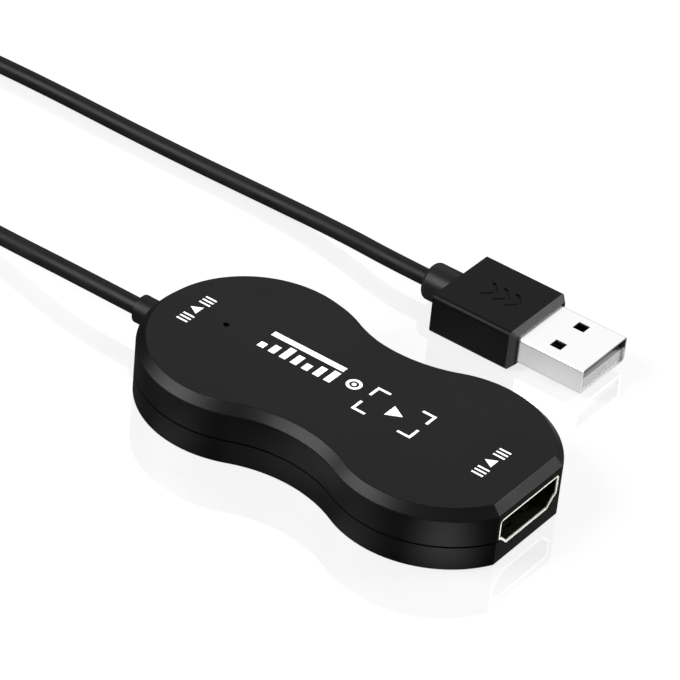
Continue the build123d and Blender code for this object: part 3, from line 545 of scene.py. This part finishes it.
def drawnShell(name, bendShadeColour, flat, insideShade):
    # bright drawn sheet: rougher on the bends the tool made, where painted shade also darkens it to
    # dim the lamp's highlight, and darkened by painted shade within the tube
    setup = shellSetup
    tree = newTree(name)
    facing = tree.facing()
    sideways, upwards = facing.other("Y"), facing.other("Z")
    # painted shade on the bends, found by which way the surface faces
    bend = tree.ramp(sideways * sideways * upwards * upwards, *setup["bendRange"])
    low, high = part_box("plug_shell")
    middle, half = (low + high) / 2, (high - low) / 2
    spot = tree.metres()
    across, above = spot.other("Y") - middle.y, spot.other("Z") - middle.z
    underSkin = (half.y - across.absolute()).lesser(half.z - above.absolute())
    mouthEdges = (high.x - step * mm for step in setup["behindMouth"])
    behind = tree.ramp(spot, *mouthEdges, 1.0, 0.0)
    roofSide = tree.ramp(above, 0, setup["overMiddle"] * mm)
    skinEdges = (step * mm for step in setup["underSkin"])
    # the tube: painted shade within the shell, behind its mouth
    tube = tree.ramp(underSkin, *skinEdges) * behind.greater(roofSide)
    lines = tree.noise("sheetLines")
    # painted shade on the bends, mixed with a few real stains
    dull = bend * setup["bendShare"] + tree.noise("sheetStains") * (1 - setup["bendShare"])
    rougher = bend * setup["bendRoughness"] + tube * setup["tubeRoughness"]
    return tree.surface({
        "Base Color": tree.blend(tube, tree.blend(dull, flat, bendShadeColour), insideShade),
        "Metallic": 1.0,
        "Roughness": setup["roughness"] + lines * setup["spread"] + rougher,
        "Normal": tree.bump(lines, setup["depth"]),
    })


solderSetup = {
    "dullRange": (0.45, 0.65),
    "roughness": 0.22,
    "dullRoughness": 0.25,
    "depth": 0.02,
}


def solderMetal(name, dark, light):
    # solder that has set: bright, slightly rippled, dull where the flux lay
    setup = solderSetup
    tree = newTree(name)
    dull = tree.ramp(tree.noise("solderFlux"), *setup["dullRange"])
    return tree.surface({
        "Base Color": tree.blend(dull, light, dark),
        "Metallic": 1.0,
        "Roughness": setup["roughness"] + dull * setup["dullRoughness"],
        "Normal": tree.bump(tree.noise("solderRipple"), setup["depth"]),
    })


jacketSetup = {
    "toneRange": (0.35, 0.7),
    "bloomRange": (0.3, 0.7),
    "roughness": 0.44,
    "spread": 0.1,
    "specular": 0.13,
    "depth": 0.0008,
}


def cordJacket(name, dark, light):
    # soft extruded jacket: satin, with a faint bloom and very fine drag lines
    setup = jacketSetup
    tree = newTree(name)
    bloom = tree.noise("jacketBloom")
    return tree.surface({
        "Base Color": tree.blend(tree.ramp(bloom, *setup["toneRange"]), dark, light),
        "Roughness": setup["roughness"] + tree.ramp(bloom, *setup["bloomRange"]) * setup["spread"],
        "Specular IOR Level": setup["specular"],
        "Normal": tree.bump(tree.noise("jacketDrag"), setup["depth"]),
    })


boardSetup = {
    "weaveScale": 1400.0,
    "weaveShift": 0.5,
    "weaveGap": 0.06,
    "weaveSoftness": 0.8,
    "runScale": 260.0,
    "runEdge": (0.06, 0.1),
    "roughness": 0.3,
    "spread": 0.12,
    "coat": 0.4,
    "runCoat": 0.3,
    "runShare": 0.8,
    "depth": 0.02,
}


def boardLaminate(name, mask, copper):
    # black solder mask over the weave of the laminate, with the copper runs raised under it
    setup = boardSetup
    tree = newTree(name)
    place = tree.place()
    bricks = {
        "Vector": place, "Scale": setup["weaveScale"], "Mortar Size": setup["weaveGap"],
        "Mortar Smooth": setup["weaveSoftness"],
    }
    weave = tree.add("TexBrick", {"offset": setup["weaveShift"]}, bricks, 1)
    cells = {"distance": "MANHATTAN", "feature": "DISTANCE_TO_EDGE"}
    runs = tree.add("TexVoronoi", cells, {"Vector": place, "Scale": setup["runScale"]})
    run = tree.ramp(runs, *setup["runEdge"], 1.0, 0.0)
    height = run * setup["runShare"] + weave * (1 - setup["runShare"])
    return tree.surface({
        "Base Color": tree.blend(run, mask, copper),
        "Roughness": setup["roughness"] + weave * setup["spread"],
        "Coat Weight": setup["coat"] - run * (setup["coat"] - setup["runCoat"]),
        "Normal": tree.bump(height, setup["depth"]),
    })


epoxySetup = {
    "speckRange": (0.55, 0.8),
    "roughness": 0.55,
    "spread": 0.2,
    "specular": 0.35,
    "depth": 0.008,
}


def chipEpoxy(name, dark, light):
    # moulded epoxy: dull black with bright filler specks
    setup = epoxySetup
    tree = newTree(name)
    specks = tree.noise("epoxySpecks")
    return tree.surface({
        "Base Color": tree.blend(tree.ramp(specks, *setup["speckRange"]), dark, light),
        "Roughness": setup["roughness"] + specks * setup["spread"],
        "Specular IOR Level": setup["specular"],
        "Normal": tree.bump(specks, setup["depth"]),
    })


powderSetup = {
    "pitScale": 6500.0,
    "toneRange": (0.3, 0.7),
    "spread": 0.15,
    "depth": 0.01,
}


def sinteredBlock(name, dark, light, roughness):
    # pressed and fired powder, as in ferrite and ceramic: fine pits and uneven tone
    setup = powderSetup
    tree = newTree(name)
    pits = tree.add("TexVoronoi", {}, {"Vector": tree.place(), "Scale": setup["pitScale"]})
    tone = tree.noise("powderTone")
    return tree.surface({
        "Base Color": tree.blend(tree.ramp(tone, *setup["toneRange"]), dark, light),
        "Roughness": roughness + tone * setup["spread"],
        "Normal": tree.bump(pits, setup["depth"]),
    })


tongueSetup = {
    "behindTip": (1.7, 0.1),
    "toneShare": 0.08,
    "roughness": 0.5,
    "spread": 0.12,
    "specular": 0.2,
    "depth": 0.006,
}


def plugTongue(name, dark, light):
    # moulded tongue: pale at its open front, darkened by painted shade from the windows back
    setup = tongueSetup
    tree = newTree(name)
    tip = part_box("plug_insulator")[1].x
    front = tree.ramp(tree.metres(), *(tip - step * mm for step in setup["behindTip"]))
    tone = tree.noise("tongueTone")
    pale = front * (1 - setup["toneShare"] + tone * setup["toneShare"])
    return tree.surface({
        # the dark colour is painted shade on the tongue behind its open front
        "Base Color": tree.blend(pale, dark, light),
        "Roughness": setup["roughness"] + tone * setup["spread"],
        "Specular IOR Level": setup["specular"],
        "Normal": tree.bump(tone, setup["depth"]),
    })


inkSetup = {
    "patchRange": (0.25, 0.55),
    "roughness": 0.5,
    "spread": 0.15,
    "specular": 0.25,
    "depth": 0.004,
}


def printedInk(name, thin, full):
    # screen print: nearly even ink, a little thin where the plastic's grain stands up
    setup = inkSetup
    tree = newTree(name)
    patches = tree.noise("inkPatches")
    return tree.surface({
        "Base Color": tree.blend(tree.ramp(patches, *setup["patchRange"]), thin, full),
        "Roughness": setup["roughness"] + patches * setup["spread"],
        "Specular IOR Level": setup["specular"],
        "Normal": tree.bump(patches, setup["depth"]),
    })


resinSetup = {
    "roughness": 0.12,
    "spread": 0.1,
    "clear": 0.6,
    "depth": 0.004,
}


def lampLens(name, pale, warm):
    # clear resin over a small chip
    setup = resinSetup
    tree = newTree(name)
    haze = tree.noise("resinHaze")
    return tree.surface({
        "Base Color": tree.blend(haze, pale, warm),
        "Roughness": setup["roughness"] + haze * setup["spread"],
        "Transmission Weight": setup["clear"],
        "Normal": tree.bump(haze, setup["depth"]),
    })


# Linear colours of each finish, in the order that its function takes them
colours = {
    "housing": ((0.0009, 0.0009, 0.001), (0.0021, 0.0021, 0.0023)),
    # grip: satin black, then the paler colour for the collar and for the nose's painted light
    "grip": ((0.002, 0.002, 0.0022), (0.055, 0.055, 0.056)),
    "jacket": ((0.003, 0.003, 0.0033), (0.0062, 0.0062, 0.0066)),
    # bright shell: painted shade for the bends, the flat sheet, and painted shade within the tube
    "brightShell": ((0.75, 0.75, 0.76), (0.96, 0.96, 0.96), (0.11, 0.11, 0.11)),
    # socket plating: painted shade for within the box, then the rim's painted highlight
    "socketPlatingPaintedLight": ((0.02, 0.019, 0.015), (1.0, 1.0, 0.9)),
    "gold": ((0.62, 0.4, 0.13), (0.95, 0.72, 0.32)),
    "socketBlack": ((0.014, 0.014, 0.013), (0.05, 0.05, 0.046)),
    # tongue: painted shade for behind the windows, then the pale moulding
    "tongue": ((0.006, 0.006, 0.006), (0.48, 0.48, 0.48)),
    "board": ((0.002, 0.003, 0.0025), (0.006, 0.01, 0.008)),
    "epoxy": ((0.012, 0.012, 0.013), (0.09, 0.09, 0.09)),
    "tin": ((0.5, 0.5, 0.5), (0.78, 0.77, 0.75)),
    "solder": ((0.42, 0.42, 0.41), (0.74, 0.74, 0.73)),
    "can": ((0.6, 0.59, 0.56), (0.82, 0.81, 0.78)),
    "ferrite": ((0.02, 0.019, 0.018), (0.05, 0.048, 0.045)),
    "tantalum": ((0.5, 0.3, 0.04), (0.68, 0.44, 0.07)),
    "ceramic": ((0.3, 0.2, 0.11), (0.46, 0.33, 0.2)),
    "resistor": ((0.008, 0.008, 0.01), (0.03, 0.03, 0.035)),
    "lens": ((0.8, 0.78, 0.7), (0.9, 0.7, 0.35)),
    "innerMould": ((0.5, 0.5, 0.48), (0.66, 0.66, 0.63)),
    "red": ((0.33, 0.008, 0.006), (0.46, 0.02, 0.015)),
    "white": ((0.62, 0.62, 0.6), (0.76, 0.76, 0.74)),
    "green": ((0.006, 0.13, 0.02), (0.015, 0.2, 0.04)),
    "black": ((0.006, 0.006, 0.006), (0.014, 0.014, 0.014)),
    # plug contacts: painted shade for behind the windows, then gold
    "plugContactAndShade": ((0.03, 0.03, 0.03), (0.95, 0.72, 0.32)),
    "ink": ((0.74, 0.74, 0.74), (0.92, 0.92, 0.92)),
}

# Roughness and, where it isn't the shader's own, specular level of the plain finishes
plainGloss = {
    "housing": (0.4, 0.142),
    "socketBlack": (0.4, 0.3),
    "tantalum": (0.45,),
    "innerMould": (0.5,),
    "insulation": (0.35,),
    "gold": (0.22,),
    "can": (0.28,),
    "tin": (0.3,),
    "ferrite": (0.5,),
    "ceramic": (0.35,),
    "resistor": (0.3,),
}


def plain(make, name, colour):
    return make(name, *colours[colour], *plainGloss[colour])


housingPlastic = plain(mouldedPlastic, "housing_plastic", "housing")
gripPlastic = mouldedGrip("grip_plastic", *colours["grip"])
jacket = cordJacket("cable_jacket", *colours["jacket"])
tinnedLead = plain(brushedMetal, "tinned_lead", "tin")
insulation = {
    tone: mouldedPlastic(f"insulation_{tone}", *colours[tone], *plainGloss["insulation"])
    for tone in ("red", "white", "green", "black")
}
finishes = {
    "lower_housing": housingPlastic,
    "upper_housing": housingPlastic,
    "socket_shell": socketPlatingPaintedLight("socket_plating_painted_light", *colours["socketPlatingPaintedLight"]),
    "socket_contacts": plain(brushedMetal, "contact_gold", "gold"),
    "socket_insulator": plain(mouldedPlastic, "socket_black", "socketBlack"),
    "circuit_board": boardLaminate("board_laminate", *colours["board"]),
    "capture_chip": chipEpoxy("chip_epoxy", *colours["epoxy"]),
    "crystal": plain(brushedMetal, "crystal_can", "can"),
    "power_inductor": plain(sinteredBlock, "ferrite", "ferrite"),
    "reservoir_capacitors": plain(mouldedPlastic, "tantalum_case", "tantalum"),
    "chip_capacitors": plain(sinteredBlock, "ceramic_body", "ceramic"),
    "chip_resistors": plain(sinteredBlock, "resistor_body", "resistor"),
    "chip_terminals": solderMetal("solder", *colours["solder"]),
    "status_lamp": lampLens("lamp_lens", *colours["lens"]),
    "cable_grommet": jacket,
    "cable_tail": jacket,
    "plug_cable_tail": jacket,
    "plug_overmould": gripPlastic,
    "plug_shell": drawnShell("bright_shell", *colours["brightShell"]),
    "plug_contacts": plugContactAndShade("plug_contact_gold_and_shade", *colours["plugContactAndShade"]),
    "plug_insulator": plugTongue("tongue_white", *colours["tongue"]),
    "plug_inner_mould": plain(mouldedPlastic, "inner_mould", "innerMould"),
    "shield_drain": tinnedLead,
}
for name in ("firmware_memory", "voltage_regulator"):
    finishes[name] = finishes["capture_chip"]
for name in ("capture_chip_leads", "firmware_memory_leads", "voltage_regulator_leads"):
    finishes[name] = tinnedLead
finishes["solder_joints"] = finishes["chip_terminals"]
for tone, material in insulation.items():
    finishes[f"conductor_{tone}"] = material
    finishes[f"plug_conductor_{tone}"] = material


def dress(piece, material):
    piece.data.materials.clear()
    piece.data.materials.append(material)


def dressNode(piece, material):
    # a CAD node keeps its mesh: the finish goes into the slots of its object
    for slot in piece.material_slots:
        slot.link = "OBJECT"
        slot.material = material


for name, material in finishes.items():
    dressNode(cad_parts[name], material)
dress(cord, jacket)
printFinish = printedInk("printed_ink", *colours["ink"])
for mark in roofMarks:
    dress(mark, printFinish)
print("finishes laid on:", len(finishes), "nodes")

# Studio: the floor and the world are white to the camera, the gloss sees softer surroundings.
# The floor's half side is in metres. A glow is its place and radius on the floor in millimetres
# and its strength. A window is its azimuth and elevation, its strength, and the cosines between
# which it rises to that.
studioSetup = {
    "floorHalf": 3.0,
    "floorCells": 2,
    "floorColour": (0.86, 0.86, 0.86, 1),
    "floorWhite": 0.98,
    "floorLit": 0.14,
    "floorMirror": 0.085,
    "mirrorRoughness": 0.04,
    "glossFloor": 0.08,
    "glossMirror": 0.02,
    "glossRoughness": 0.15,
    "glows": [
        (34.5, -20, 12, 3.5), (15, -20, 8, 0.4), (6, -30, 12, 0.35), (-3, -19, 9, 0.65),
        (-17, -22, 9, 0.6), (-2, 28, 12, 0.45), (17, 29, 24, 0.45), (24, 42, 14, 0.36),
    ],
    "skyLit": 0.35,
    "skyDark": 0.08,
    "windows": [
        (-150, 37, 0.98, 0.86, 0.985), (-95, 60, 0.5, 0.8, 0.97), (45, 22, 0.8, 0.6, 0.95),
    ],
    "white": (1, 1, 1, 1),
}


def floorSeen(tree, setup, pale):
    # what the camera sees: nearly white, with the object's shadow and a weak reflection
    white = setup["white"]
    glowing = tree.add("Emission", {}, {"Color": white, "Strength": setup["floorWhite"]})
    mirror = tree.add("BsdfGlossy", {}, {"Color": white, "Roughness": setup["mirrorRoughness"]})
    shadowed = tree.add("MixShader", {}, {0: setup["floorLit"], 1: glowing, 2: pale})
    return tree.add("MixShader", {}, {0: setup["floorMirror"], 1: shadowed, 2: mirror})


def floorReflected(tree, setup):
    # what the gloss of the object sees: a dim floor with soft glows, and a little of the lamps
    white = setup["white"]
    spot = tree.add("TexCoord", {}, {}, "Object")
    glow = setup["glossFloor"]
    for x, y, radius, strength in setup["glows"]:
        centre = {0: spot, 1: (x * mm, y * mm, 0)}
        reach = tree.add("VectorMath", {"operation": "DISTANCE"}, centre, 1)
        glow = glow + tree.ramp(reach, 0, radius * mm, strength, 0)
    soft = tree.add("Emission", {}, {"Color": white, "Strength": glow})
    lamps = tree.add("BsdfGlossy", {}, {"Color": white, "Roughness": setup["glossRoughness"]})
    return tree.add("MixShader", {}, {0: setup["glossMirror"], 1: soft, 2: lamps})


def makeFloor(setup):
    work = bmesh.new()
    cells = setup["floorCells"]
    bmesh.ops.create_grid(work, x_segments=cells, y_segments=cells, size=setup["floorHalf"])
    mesh = bpy.data.meshes.new("floor")
    work.to_mesh(mesh)
    work.free()
    made = bpy.data.objects.new("floor", mesh)
    bpy.context.scene.collection.objects.link(made)
    tree = newTree("pale_floor")
    pale = tree.add("BsdfDiffuse", {}, {"Color": setup["floorColour"]})
    isCamera = tree.add("LightPath", {}, {}, "Is Camera Ray")
    isGlossy = isCamera.other("Is Glossy Ray")
    unseen = tree.add("MixShader", {}, {0: isGlossy, 1: pale, 2: floorReflected(tree, setup)})
    floor = tree.add("MixShader", {}, {0: isCamera, 1: unseen, 2: floorSeen(tree, setup, pale)})
    tree.add("OutputMaterial", {}, {"Surface": floor})
    dress(made, tree.owner)


def makeWorld(setup):
    world = bpy.data.worlds.new("studio")
    bpy.context.scene.world = world
    tree = Tree(world)
    towards = tree.add("TexCoord", {}, {}, "Generated")
    reflected = setup["skyDark"]
    for azimuth, elevation, strength, low, high in setup["windows"]:
        directions = {0: towards, 1: polar(azimuth, elevation)}
        near = tree.add("VectorMath", {"operation": "DOT_PRODUCT"}, directions, 1)
        reflected = reflected + tree.ramp(near, low, high, 0, strength)
    isCamera = tree.add("LightPath", {}, {}, "Is Camera Ray")
    isGlossy, isThrough = isCamera.other("Is Glossy Ray"), isCamera.other("Is Transmission Ray")
    unseen = setup["skyLit"] + isGlossy * (reflected - setup["skyLit"])
    strength = unseen + isCamera.greater(isThrough) * (1 - unseen)
    sky = tree.add("Background", {}, {"Color": setup["white"], "Strength": strength})
    tree.add("OutputWorld", {}, {"Surface": sky})


# Lamps: azimuth and elevation, distance and width in metres, and how bright the lamp's face is
lampSetup = {
    "key": (-45, 38, 0.6, 0.42, 14.0),
    "rim": (146, 31, 0.6, 0.3, 13.2),
}


def makeLamp(name, azimuth, elevation, distance, width, brightness):
    data = bpy.data.lights.new(name, "AREA")
    data.shape = "DISK"
    data.size = width
    faceArea = math.pi * (width / 2) ** 2
    data.energy = brightness * math.pi * faceArea
    made = bpy.data.objects.new(name, data)
    bpy.context.scene.collection.objects.link(made)
    out = polar(azimuth, elevation)
    turn = out.to_track_quat("Z", "Y").to_matrix().to_4x4()
    made.matrix_world = Matrix.Translation(out * distance) @ turn


makeFloor(studioSetup)
makeWorld(studioSetup)
for name, setup in lampSetup.items():
    makeLamp(name, *setup)
bpy.context.scene.view_settings.view_transform = "Standard"
print("studio lit")
